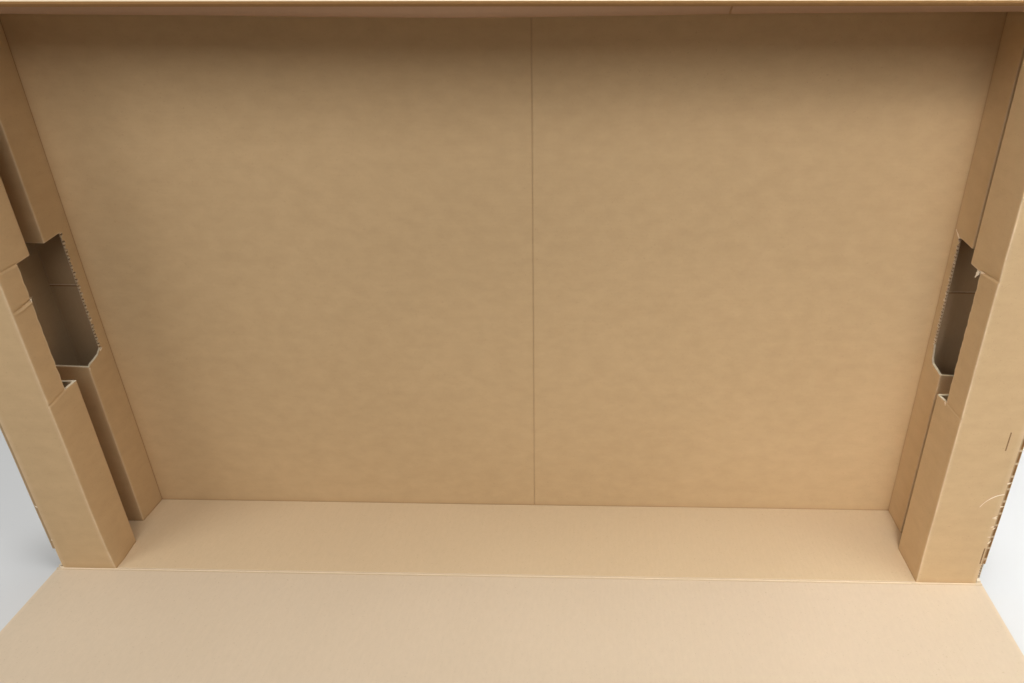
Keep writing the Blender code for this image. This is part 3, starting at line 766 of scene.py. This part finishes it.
# The carton's tube
tube = {
    "creaseHalf": 0.004,     # how far the crease strips of the front flaps reach
    "tabHeight": 0.05,
    "relief": 0.045,         # how much of the flanges is cut away at each end
    "reliefStep": 0.0039,
    "flangeEdgeX": 0.8555,
    "slotLength": 0.022,
    "slotPitch": 0.028,
    "slotWidth": 0.0025,
    "slotX": 0.8985,
    # slotSide, slotDark and scoreWear are painted shade round the slots and along the left end's score
    "slotSide": 0.0012,      # how far past a slot's ends its dark reaches
    "slotDark": (2.0, 0.0023),     # strengths and widths of the painted shade round each slot
    "landWear": (0.5, 0.0024),
    "scoreWear": (-0.9, 0.0013),
    "score": (-0.0012, 0.0014),    # depth and width of the left crease
}
foldNose = {
    "crush": 0.006,          # how far back the fold's foot lies under the top wall
    "crushOver": 0.012,      # and how far behind the front edge that ends
    "reach": 0.0068,         # and how far its upper edge stands in front of it
    "crackX": 0.336,
    # dark and light: the nose's paper, the kraft darkened as painted shade
    "dark": (0.31, 0.175, 0.094),
    "light": (0.445, 0.262, 0.148),
    "crack": (0.0018, 0.0016),     # its depth and width
    "bulge": 0.0006,
    "flat": 0.04,            # share of its depth that is left when the flap hangs in front of the box
}
front0 = frontY + tube["creaseHalf"]
back0 = backY - foldReach
endMiddle = endX - half                  # the middle of an end wall's board
tabX = -endX - touchGap - half           # and of the manufacturer's joint's tab


def makeTubeBoard(name, node, corners, fromY, tabEnd):
    # The floor or the top, folded over at both ends. The top's left end goes on as the joint's tab.
    place, stations, folds = foldedPath(corners, (0, 2, 1), False, -half, half)
    end, tabFold = stations[-1], stations[1]

    def crushed(s, t, w):
        # The underside of the top wall's front edge is crushed back, where the flap folds over it
        point = place(s, t, w)
        near = np.clip(1 - (point[..., 1] - frontY) / foldNose["crushOver"], 0, 1)
        point[..., 1] += foldNose["crush"] * near * np.clip(1 - w / outerBoard, 0, 1)
        return point

    sMarks, areas, wide = [0, end], [], box2(-1, end + 1, -1, 1)
    if tabEnd:
        sMarks += [hollowDepth, tabFold - 0.005]
        wide = lambda s, t: (s > 0) & ((s > tabFold) | ((t > fromY) & (t < back0)))
        areas = [(rim, tabFold - 0.004, fromY + rim, fromY + ribbonReach),
                 (rim, tabFold - 0.004, back0 - ribbonReach, back0 - rim)]
    worn = wearAndShadeLines(*[("s", station, 0.6, 0.003) for station in stations[1:-1]])
    makeBoard(name, (crushed if tabEnd else place, stations, folds), outerBoard, sMarks,
              [fromY, fromY + hollowDepth, back0 - hollowDepth, back0], box2(-1, end + 1, fromY - 1, back0 + 1),
              wide, areas, pieceLook(outerSet if tabEnd else shadedFloorSet, "carton", (node,)), False, wear=worn)


floorCorners = ((-endMiddle, foldReach), (-endMiddle, half), (endMiddle, half), (endMiddle, foldReach))
topCorners = ((tabX, topZ - tube["tabHeight"]), (tabX, topZ - half), (endMiddle, topZ - half),
              (endMiddle, topZ - foldReach))
makeTubeBoard("bottomBoard", "bottom_wall", floorCorners, front0, False)
makeTubeBoard("topBoard", "top_wall", topCorners, frontY, True)


# The end walls, with their perforated front flanges and hand holes
handHole = {
    "length": 0.11,
    "top": 0.5245,
    "height": 0.036,
    "swingRoom": 0.00088,
    "corner": 0.015,
    "gap": 0.0005,
    "drawn": (0.02, 0.028),  # how far below and beside it the board's lines follow its round corners
    "cell": 0.005,
}


def cornerInset(rise, radius):
    # How far a rounded corner's edge stands in, at a height above the corner's lowest point
    return radius - np.sqrt(np.clip(radius ** 2 - (radius - np.clip(rise, 0, radius)) ** 2, 0, None))


cornerMarks = handHole["corner"] * (1 - np.cos(np.linspace(0, math.pi / 2, 7)))


def makeEndWall(name, side, top):
    # An end with its hand hole, folded into a flange behind the front strip. A row of slots goes
    # through the right end's crease, and the left end's is only scored.
    flangeY = frontY + linerBoard + touchGap + half
    corners = ((endMiddle, backY - outerBoard), (endMiddle, flangeY), (tube["flangeEdgeX"], flangeY))
    path = foldedPath(corners, (0, 1, 2), side < 0, -half, half)
    bottom, (_, fold, end) = foldReach, path[1]
    reliefAt = fold - tube["reliefStep"] - half
    reliefs = (floorZ + tube["relief"], ceilingZ - tube["relief"])
    length, pitch = tube["slotLength"], tube["slotPitch"]
    count = int((reliefs[1] - reliefs[0] - length) / pitch)
    firstSlot = sum(reliefs) / 2 - (count - 1) * pitch / 2
    slotMiddles = firstSlot + np.arange(count) * pitch
    slotAt = fold + (endMiddle - tube["slotX"])
    slotS = (slotAt - tube["slotWidth"] / 2, slotAt + tube["slotWidth"] / 2)
    holeMiddle = backY - outerBoard
    holeS = (holeMiddle - handHole["length"] / 2, holeMiddle + handHole["length"] / 2)
    holeT = (handHole["top"] - handHole["height"] - handHole["swingRoom"], handHole["top"])

    def warp(s, t):
        # The hand hole's sides curve in towards its foot
        below, beside = handHole["drawn"]
        inward = np.where(t < holeT[0], handHole["corner"] * np.clip(1 - (holeT[0] - t) / below, 0, 1),
                          cornerInset(t - holeT[0], handHole["corner"]))
        moved = s + inward * np.clip(1 - np.abs(s - holeS[0]) / beside, 0, 1)
        return moved - inward * np.clip(1 - np.abs(s - holeS[1]) / beside, 0, 1), t

    def fromSlot(t):
        # The distance to the middle of the nearest slot
        return np.abs((t - firstSlot + pitch / 2) % pitch - pitch / 2)

    def slots(s, t):
        inRow = (t > reliefs[0]) & (t < reliefs[1]) & (fromSlot(t) < length / 2)
        return (s > slotS[0]) & (s < slotS[1]) & inRow & (side > 0)

    def whole(s, t):
        # All but the flange's two cut-back ends and the hand hole
        return ~((s > reliefAt) & ((t < reliefs[0]) | (t > reliefs[1]))) & ~box2(*holeS, *holeT)(s, t)

    areas = [
        (end - ribbonReach, end - rim, reliefs[0] + rim, reliefs[1] - rim),
        (reliefAt - ribbonReach, reliefAt - rim, bottom, reliefs[0]),
        (reliefAt - ribbonReach, reliefAt - rim, reliefs[1], top),
    ]
    tMarks = [bottom, top, *reliefs, *holeT, *(holeT[0] + cornerMarks)]
    for reach in (length / 2, length / 2 + 0.0015):
        tMarks += [*(slotMiddles - reach), *(slotMiddles + reach)]
    sMarks = [0, end, reliefAt, *slotS, slotS[0] - 0.0015, slotS[1] + 0.0015, *holeS]
    # The left end's score is darkened with painted shade, and the right end's lands are rubbed pale
    scored = wearAndShadeLines(("s", fold, 0.6, 0.003), ("s", slotAt, *tube["scoreWear" if side < 0 else "landWear"]))

    def worn(s, t):
        # Round each slot the paper is darkened with painted shade, and the lands between the slots are torn pale
        inSlot = ease(length / 2 + tube["slotSide"] - fromSlot(t), 0, tube["slotSide"]) * (side > 0)
        strength, width = tube["slotDark"]
        return scored(s, t) - strength * inSlot * bell(s, slotAt, width)

    pressed = grooves([(slotAt, reliefs[0], slotAt, reliefs[1], *tube["score"])]) if side < 0 else None
    makeBoard(f"{name}EndBoard", path, outerBoard, sMarks, tMarks, lambda s, t: whole(s, t) & ~slots(s, t),
              lambda s, t: whole(s, t) & (s < end), areas, pieceLook(shadedWallSet, "carton", (f"{name}_end_wall",)),
              warp=warp, dents=pressed, wear=worn)


def makeHandFlap(name, side):
    # The leaf that fills a hand hole: a rectangle whose lower corners are round
    gap = handHole["gap"]
    low, high = handHole["top"] - handHole["height"], handHole["top"] - touchGap
    reach = handHole["length"] / 2 - gap
    inner, outer = side * (endX - outerBoard), side * endX

    def place(s, t, w):
        return np.stack([inner + (outer - inner) * w / outerBoard, s, t], -1)

    def warp(s, t):
        return s / reach * (reach - cornerInset(t - low, handHole["corner"] - gap)), t

    leaf = box2(-reach, reach, low, high + 1)
    areas = [(-reach + 0.0004, -reach + ribbonReach, low + 0.0004, high),
             (reach - ribbonReach, reach - 0.0004, low + 0.0004, high)]
    look = pieceLook(shadedWallSet, f"{name}_hand_leaf", (f"{name}_hand_flap",), cell=handHole["cell"])
    makeBoard(f"{name}HandFlap", (place, None, [-reach, reach]), outerBoard, [], [*(low + cornerMarks), high],
              leaf, leaf, areas, look, warp=warp, wear=wearAndShadeLines(("t", high, 0.8, 0.002), ("t", low, 0.5, 0.002)))


makeEndWall("left", -1, ceilingZ)
makeEndWall("right", 1, topZ - foldReach)
makeHandFlap("left", -1)
makeHandFlap("right", 1)


# The back flaps and the tape over their seam
def makeBackFlap(name, node, foldZ, edgeZ, seamWear):
    # A board from the floor's or the top's rear crease to the seam
    flapY = backY - half
    path = foldedPath(((back0, foldZ), (flapY, foldZ), (flapY, edgeZ)), (1, 2, 0), False, -half, half)
    _, fold, end = path[1]
    region = box2(-1, end + 1, -endX, endX)
    worn = wearAndShadeLines(("s", fold, 0.6, 0.003), ("t", -endX, 0.4, 0.003), ("t", endX, 0.4, 0.003),
                     ("s", end, seamWear, 0.0013))
    makeBoard(name, path, outerBoard, [0, end, end - 0.0008, end - 0.0016, end - 0.003], [-endX, endX],
              region, region, (), pieceLook(shadedWallSet, "carton", (node,)), wear=worn)


# The lower flap's edge at the seam is darkened with a painted shadow of the gap under the upper flap, whose edge is
# rubbed pale
makeBackFlap("lowerBackFlap", "lower_back_flap", half, seamZ - seamHalf, -1.1)
makeBackFlap("upperBackFlap", "upper_back_flap", topZ - half, seamZ + seamHalf, 1.2)

tapeLook = {
    "width": 0.07,
    "wrap": 0.045,
    "thickness": 0.00025,
    "off": 0.0001,           # how far it stands off the board
    "waves": 0.0004,
}


def makeTape():
    # Paper tape: a thin sheet carried round both ends of the back, with slightly wavy edges
    look, thin = tapeLook, tapeLook["thickness"] / 2
    x, y, wrapY = endX + look["off"] + thin, backY + look["off"] + thin, backY - look["wrap"]
    place, stations, folds = foldedPath(((-x, wrapY), (-x, y), (x, y), (x, wrapY)), (0, 1, 2), False, -thin, thin)
    reach = look["width"] / 2

    def warp(s, t):
        edge = (t - seamZ) / reach
        return s + look["waves"] * np.sin(700 * t), t + look["waves"] * edge * np.sin(9 * s + 2) * np.sin(31 * s)

    shell = boardShell(place, divide([0, stations[-1]] + folds, 0.012), steps(seamZ - reach, seamZ + reach, 0.006),
                       [0, look["thickness"]], everywhere, everywhere, True, warp)
    newPiece("backTape", [shell], pieceLook(tapeSet, "carton", ("back_seam_tape",), "paper_tape"))


makeTape()


# The front flaps and their creases
frontFlap = {
    "length": 0.50825,
    "taper": 0.02,
    "bead": 0.0014,          # height of the crease's ridge on the ground flap
    "valley": 0.0005,        # depth of the two valleys beside it
    "hollow": 0.0012,        # and of the one under it
    "lean": 0.0030,          # how far the folded edge of the upper flap leans forward,
    "leanTop": 0.7,          # up to this share of its height,
    "round": 0.0016,         # and how far its upper corner is rounded back from there
    "leanOver": 0.004,
    "off": 0.0068,           # how far its hinge stands in front of the box, and its upper face above it
}


def makeFrontFlap(name, node, body, hinge, outward, low, high, nose):
    # A flat board whose sides draw in towards its free edge
    look = frontFlap
    length = look["length"] - (touchGap if nose else 0)
    begin = 0.0 if nose else tube["creaseHalf"]

    def place(s, t, w):
        y = hinge + outward * t
        if nose:
            # Its folded edge leans forward from its underside, with a small round at its upper corner
            near, height, top = np.clip(1 - t / look["leanOver"], 0, 1), w / outerBoard, look["leanTop"]
            lean = look["lean"] * np.clip(height, 0, top) / top
            y = y - outward * near * (lean - look["round"] * np.clip((height - top) / (1 - top), 0, 1) ** 1.5)
        return np.stack([s, y, low + (high - low) * w / outerBoard], -1)

    def warp(s, t):
        return s * (1 - look["taper"] / endX * t / length), t

    # The folded flap's front edge is darkened as painted shade, and the ground flap's hinge is rubbed pale
    foldWearAndShade = (-1.0, 0.0030) if nose else (0.3, 0.0035)
    worn = wearAndShadeLines(("t", 0, *foldWearAndShade), ("t", length, 0.5, 0.003), ("s", -endX, 0.4, 0.003), ("s", endX, 0.4, 0.003))
    tMarks = [begin, 0.001, 0.002, 0.003, 0.004, 0.006, 0.008, length - hollowDepth, length]
    areas = [(-endX + rim, endX - rim, length - ribbonReach, length - rim)]
    makeBoard(name, (place, None, [-endX, endX]), outerBoard, [-endX + hollowDepth, endX - hollowDepth],
              [m for m in tMarks if m >= begin], everywhere, box2(-endX, endX, -1, length), areas,
              pieceLook(foldedShadedEdgeSet if nose else litFlapSet, body, (node,), sag=0.0), False, warp=warp, wear=worn)


makeFrontFlap("groundFlap", "lower_front_flap", "lower_flap", frontY - touchGap, -1, 0, floorZ, False)
makeFrontFlap("foldedFlap", "upper_front_flap", "upper_flap", frontY - frontFlap["off"], 1,
              topZ + 0.0001, topZ + frontFlap["off"], True)


def makeGroundCrease():
    # The scored line between the floor and the ground flap: a low ridge between two shallow valleys
    reach = tube["creaseHalf"]

    def place(s, t, w):
        away = np.abs(s) / reach
        ridge = frontFlap["bead"] * bell(away, 0, 0.42) - frontFlap["valley"] * bell(away, 0.8, 0.16)
        under = frontFlap["hollow"] * bell(away, 0, 0.5)
        height = under + (floorZ + ridge - under) * w
        return np.stack([t, frontY - 0.00015 + s, height], -1)

    # Pale along the ridge where it is rubbed, and darkened with painted shade in the valley on the flap's side
    wear = lambda s, t: 0.75 * bell(s, 0.0002, 0.0014) - 0.35 * bell(s, -0.0026, 0.0010)
    shell = boardShell(place, np.linspace(-reach - 0.00015, reach + 0.00015, 15), steps(-endX, endX, 0.008), [0, 1],
                       everywhere, everywhere, False, None, None, wear)
    crease = newPiece("groundCrease", [shell], pieceLook(outerSet, None, sharp=60))
    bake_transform(crease)


makeGroundCrease()


def makeFoldNose():
    # The front of the top wall: its foot stands back, and it leans forward by its height to meet the
    # folded-back flap, with a slight bulge and one crack across it. Its paper and its crack are darkened as painted
    # shade
    look = foldNose

    def place(s, t, w):
        behind = look["crush"] * (1 - np.clip(w, 0, 1))
        depth, width = look["crack"]
        crack = depth * bell(t, look["crackX"] + 0.004 * (w - 0.5), width) * np.clip(w / 0.4, 0, 1)
        bulge = look["bulge"] * bell(w, 0.4, 0.3)
        lean = (0.0002 + look["reach"] * np.clip(w, 0, 1) + bulge - crack) * np.clip(s, 0, 1)
        return np.stack([t, frontY + behind - lean, ceilingZ + (topZ + 0.0001 - ceilingZ) * w], -1)

    heights = np.linspace(0, 1, 8)
    crackMarks = [look["crackX"] + 0.001 * away for away in (-6, -4, -3, -2, -1, 0, 1, 2, 3, 4, 6)]
    # The crack is darkened as painted shade
    wear = lambda s, t: -0.9 * bell(t, look["crackX"], 0.0015)
    shell = boardShell(place, np.array([0.0, 1.0]), divide([-endX, endX] + crackMarks, 0.012), heights,
                       everywhere, everywhere, False, None, None, wear)
    shell["slots"][:] = paper
    shell["sag"] = 1 - np.tile(heights, len(shell["points"]) // len(heights))
    foldPaper = kraftMaterial("foldPaper", dict(kraft, dark=look["dark"], light=look["light"]))
    nose = newPiece("foldNose", [shell], pieceLook((foldPaper,), "carton", sharp=60))
    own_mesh(nose)


makeFoldNose()


# Staples
stapleLook = {
    "crown": 0.04,
    "width": 0.0025,
    "thickness": 0.0009,
    "bend": 0.0011,
    "clinch": 0.01,
    # the right strip's staples, which stand left and right of a line by turns
    "stripX": endX - 0.025,
    "stagger": 0.0097,
    "firstZ": floorZ + 0.07,
    "pitch": 0.262,
    "stripY": frontY + 0.0002,
    "stripDepth": 0.0113,    # from the crown to the clenched ends
    # the staples of the manufacturer's joint
    "jointX": -endX - touchGap - outerBoard + 0.00046,
    "jointY": (-0.0846, -0.0486, 0.0461, 0.0821),
    "jointZ": topZ - (foldReach + tube["tabHeight"]) / 2,
    "jointDepth": 0.0133,
}


def sweep(profile, path, across, name, look):
    # A closed profile carried along a path: each ring stands across the path's direction, and both ends are capped
    ahead = np.gradient(path, axis=0)
    ahead /= np.linalg.norm(ahead, axis=1)[:, None]
    lift = np.cross(ahead, across)
    points = path[:, None] + profile[None, :, 0, None] * across + profile[None, :, 1, None] * lift[:, None]
    rings, count = len(path), len(profile)
    index = np.arange(rings * count).reshape(rings, count)
    turned = np.roll(index, -1, 1)
    faces = np.stack([index[:-1], turned[:-1], turned[1:], index[1:]], -1).reshape(-1, 4).tolist()
    faces += [index[0][::-1].tolist(), index[-1].tolist()]
    mesh = bpy.data.meshes.new(name)
    mesh.from_pydata(settle(points.reshape(-1, 3)).tolist(), [], faces)
    mesh.update()
    mesh.materials.append(look["materials"][0])
    mesh.shade_smooth()
    putPiece(name, mesh, look)


def makeStaple(name, node, middle, along, inward, depth):
    # Flat wire: a crown on the board, two legs through it, and their ends clenched on the far side.
    # Each corner is a parabola between two places a bend's length before and after it.
    look = stapleLook
    along, inward = np.asarray(along, float), np.asarray(inward, float)
    reach, foot = look["crown"] / 2 - look["thickness"] / 2, depth + look["thickness"] / 2
    tip = reach - look["clinch"]
    corners = np.array(((-tip, foot), (-reach, foot), (-reach, 0), (reach, 0), (reach, foot), (tip, foot)))
    flat = [corners[:1]]
    for before, corner, after in zip(corners, corners[1:], corners[2:]):
        a, b = ((other - corner) / np.linalg.norm(other - corner) for other in (before, after))
        f = np.linspace(0, 1, 6)[:, None]
        flat.append(corner + look["bend"] * (a * (1 - f) ** 2 + b * f ** 2))
    flat = np.concatenate(flat + [corners[-1:]])
    path = np.asarray(middle) + flat[:, :1] * along + flat[:, 1:] * inward
    angle = np.arange(12) / 12 * 2 * np.pi + 0.01
    squared = [np.sign(wave) * np.abs(wave) ** 0.5 for wave in (np.cos(angle), np.sin(angle))]
    profile = np.stack([look["width"] / 2 * squared[0], look["thickness"] / 2 * squared[1]], 1)
    sweep(profile, path, np.cross(along, inward), name, pieceLook((wire,), "carton", (node,), "staple_wire"))


def wireMaterial():
    # Coppered steel wire, with duller patches; its colour is darkened as painted shade of the groove it sits in
    material, tree, shader = newMaterial("stapleWire")
    patches = noise(tree, addNode(tree, "TexCoord").outputs["Object"], 300, 3)
    tree.links.new(colourRamp(tree, patches, (0.10, 0.05, 0.02), (0.40, 0.25, 0.11)), shader.inputs["Base Color"])
    shader.inputs["Metallic"].default_value = 1
    tree.links.new(mapRange(tree, patches, 0.28, 0.5), shader.inputs["Roughness"])
    return material


wire = wireMaterial()
for number in range(4):
    x = stapleLook["stripX"] + (-1) ** number * stapleLook["stagger"]
    place = (x, stapleLook["stripY"], stapleLook["firstZ"] + number * stapleLook["pitch"])
    makeStaple(f"stripStaple{number + 1}", f"strip_staple_{number + 1}", place,
               (0, 0, 1), (0, 1, 0), stapleLook["stripDepth"])
for number, y in enumerate(stapleLook["jointY"], 1):
    place = (stapleLook["jointX"], y, stapleLook["jointZ"])
    makeStaple(f"jointStaple{number}", f"joint_staple_{number}", place, (0, 1, 0), (1, 0, 0), stapleLook["jointDepth"])


# Floor, light and camera
studio = {
    "floor": (0.66, 0.66, 0.65),
    "floorBounce": (0.16, 0.16, 0.16),   # what the floor sends back to the object
    "world": (0.92, 0.96, 1.0),
    "worldStrength": 0.12,
    "backdrop": (0.66, 0.665, 0.67),     # what the camera sees beyond the lit floor
    "fade": (1.6, 4.0),                  # distances between which the floor fades into it
    "reach": 8.0,
    "floorZ": -0.0003,
    # name, place, point aimed at, side in metres, power in watts, spread in degrees
    "lamps": (
        ("front", (0.3, -3.1, 2.8), (0, 0, 0.5), 2.2, 70, 180),
        ("right", (2.1, -0.7, 4.4), (0.6, -0.3, 0.0), 2.0, 97, 180),
        ("left", (-1.6, -1.0, 3.4), (0.5, -0.1, 0.5), 1.6, 10, 180),
        ("side", (-2.4, -2.0, 2.5), (0.3, 0, 0.5), 1.8, 33, 180),
        ("low", (1.2, -1.9, 1.4), (0.85, -0.1, 0.35), 1.0, 1.2, 180),
        ("gridded", (0.25, -2.8, 2.6), (1.2, -0.3, 0.2), 1.0, 4.3, 40),
        ("behind", (0.2, 1.9, 2.6), (0, 0.1, 0.5), 2.0, 50, 180),
    ),
}


def backgroundRays(tree):
    # 1 where the camera sees a thing itself, or in metal or through glass, and 0 where it only lights others
    rays = addNode(tree, "LightPath").outputs
    seen = maths(tree, "MAXIMUM", rays["Is Camera Ray"], rays["Is Glossy Ray"])
    return maths(tree, "MAXIMUM", seen, rays["Is Transmission Ray"])


def makeStudio():
    scene = bpy.context.scene
    backdrop = (*studio["backdrop"], 1)
    mesh = bpy.data.meshes.new("floor")
    reach, low = studio["reach"], studio["floorZ"]
    corners = ((-reach, -reach, low), (reach, -reach, low), (reach, reach, low), (-reach, reach, low))
    mesh.from_pydata(corners, [], [(0, 1, 2, 3)])
    floor = bpy.data.objects.new("floor", mesh)
    scene.collection.objects.link(floor)
    material, tree, shader = newMaterial("floorPaint")
    place = addNode(tree, "TexCoord").outputs["Object"]
    paint = colourRamp(tree, noise(tree, place, 1.5, 3), [c * 0.97 for c in studio["floor"]], studio["floor"])
    seen = backgroundRays(tree)
    tree.links.new(mixColour(tree, seen, (*studio["floorBounce"], 1), paint), shader.inputs["Base Color"])
    shader.inputs["Roughness"].default_value = 0.9
    # Far from the object the camera sees the floor fade into the backdrop
    away = addNode(tree, "VectorMath", {"operation": "LENGTH"}, {0: place}).outputs["Value"]
    inputs = {"Value": away, "From Min": studio["fade"][0], "From Max": studio["fade"][1]}
    far = addNode(tree, "MapRange", {"interpolation_type": "SMOOTHSTEP"}, inputs).outputs[0]
    glow = addNode(tree, "Emission", None, {"Color": backdrop}).outputs[0]
    share = maths(tree, "MULTIPLY", far, seen)
    mixed = addNode(tree, "MixShader", None, {0: share, 1: shader.outputs[0], 2: glow})
    tree.links.new(mixed.outputs[0], tree.nodes["Material Output"].inputs["Surface"])
    mesh.materials.append(material)
    world = bpy.data.worlds.new("studio")
    scene.world = world
    world.use_nodes = True
    tree = world.node_tree
    back = tree.nodes["Background"]
    seen = backgroundRays(tree)
    tree.links.new(mixColour(tree, seen, (*studio["world"], 1), backdrop), back.inputs[0])
    tree.links.new(mapRange(tree, seen, studio["worldStrength"], 1.0), back.inputs[1])
    for name, place, aim, side, power, spread in studio["lamps"]:
        lamp = bpy.data.lights.new(name, "AREA")
        lamp.shape, lamp.size, lamp.energy, lamp.spread = "SQUARE", side, power, math.radians(spread)
        holder = bpy.data.objects.new(name, lamp)
        holder.location = place
        holder.rotation_euler = (Vector(aim) - Vector(place)).to_track_quat("-Z", "Y").to_euler()
        scene.collection.objects.link(holder)
    scene.view_settings.view_transform = "Standard"


makeStudio()
placeCamera()
